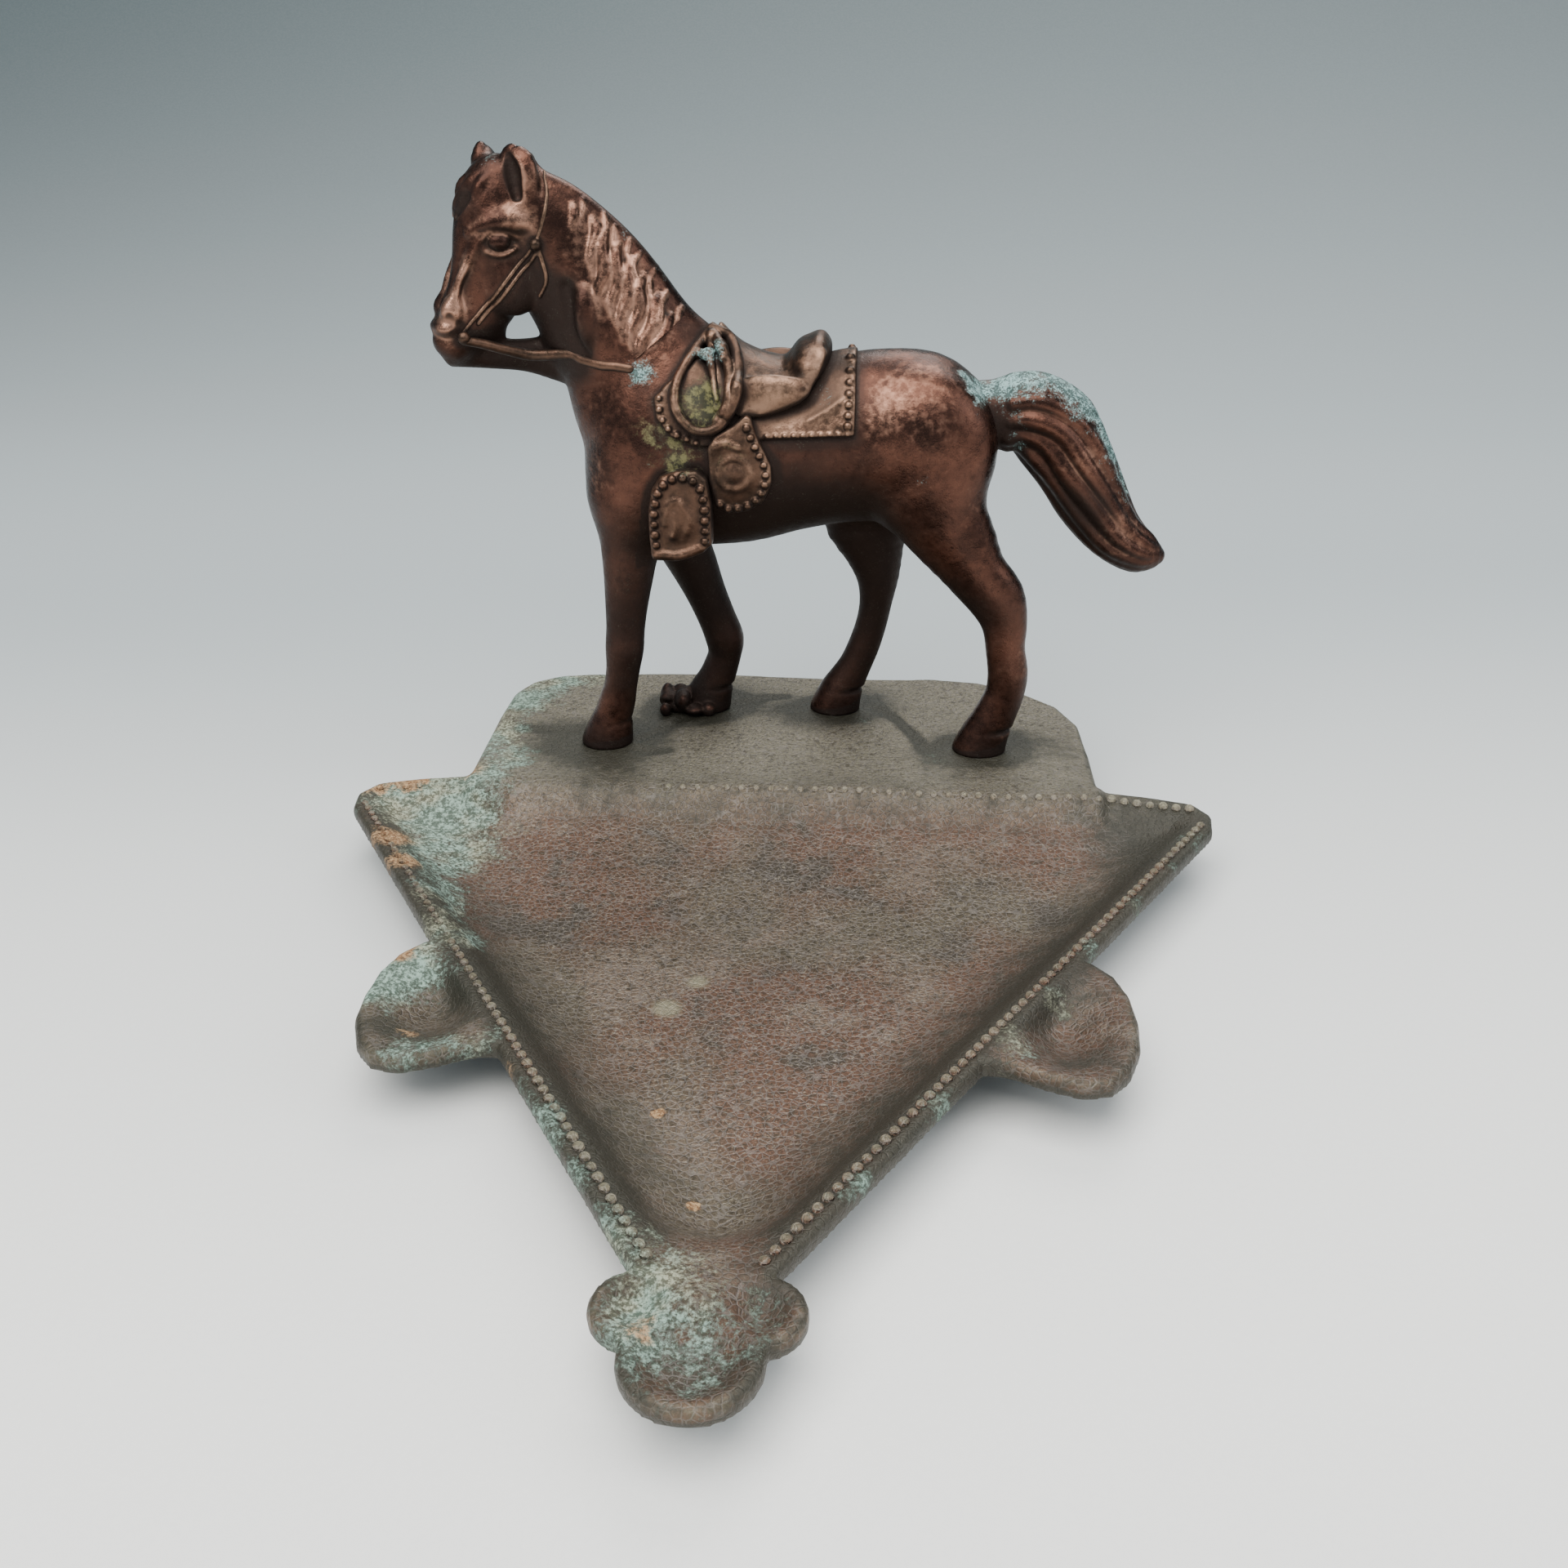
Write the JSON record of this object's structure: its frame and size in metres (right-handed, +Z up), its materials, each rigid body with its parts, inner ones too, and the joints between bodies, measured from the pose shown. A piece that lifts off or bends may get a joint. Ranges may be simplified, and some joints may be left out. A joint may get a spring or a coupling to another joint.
{
  "type": "horse statue",
  "caption": "Saddled western horse figurine standing on the raised plinth of a shield-shaped dished tray with a beaded rim, scooped side rests and a lobed tip.",
  "frame": {"origin": "on the flat underside of the tray's pan, on the tray's plane of symmetry", "axes": "+Z up, +Y from the lobed tip to the plinth under the horse, horse facing -X with its left side towards the pan"},
  "size_m": [0.153, 0.1916, 0.1179],
  "materials": {
    "horse_copper": "worn copper-bronze plating, satin, dark in the hollows",
    "tack_copper": "copper-bronze plating with dull relief and green in the hollows",
    "tray_bronze": "grey-brown satin bronze plating with verdigris along the rim",
    "screw_steel": "plain steel"
  },
  "bodies": {
    "root": {"tray_casting": "tray_bronze", "hoof_screw_front_left": "screw_steel", "hoof_screw_front_right": "screw_steel", "hoof_screw_hind_left": "screw_steel", "hoof_screw_hind_right": "screw_steel", "torso_shell_left": "horse_copper", "torso_shell_right": "horse_copper", "neck_casting": "horse_copper", "head_casting": "horse_copper", "tail_casting": "horse_copper", "leg_front_left": "horse_copper", "leg_front_right": "horse_copper", "leg_hind_left": "horse_copper", "leg_hind_right": "horse_copper", "saddle_blanket": "tack_copper", "saddle_seat": "tack_copper", "fender_left": "tack_copper", "fender_right": "tack_copper", "tapadero_left": "tack_copper", "tapadero_right": "tack_copper", "lariat_coil": "tack_copper", "headstall": "tack_copper", "bit": "tack_copper", "reins": "tack_copper"}
  },
  "joints": []
}
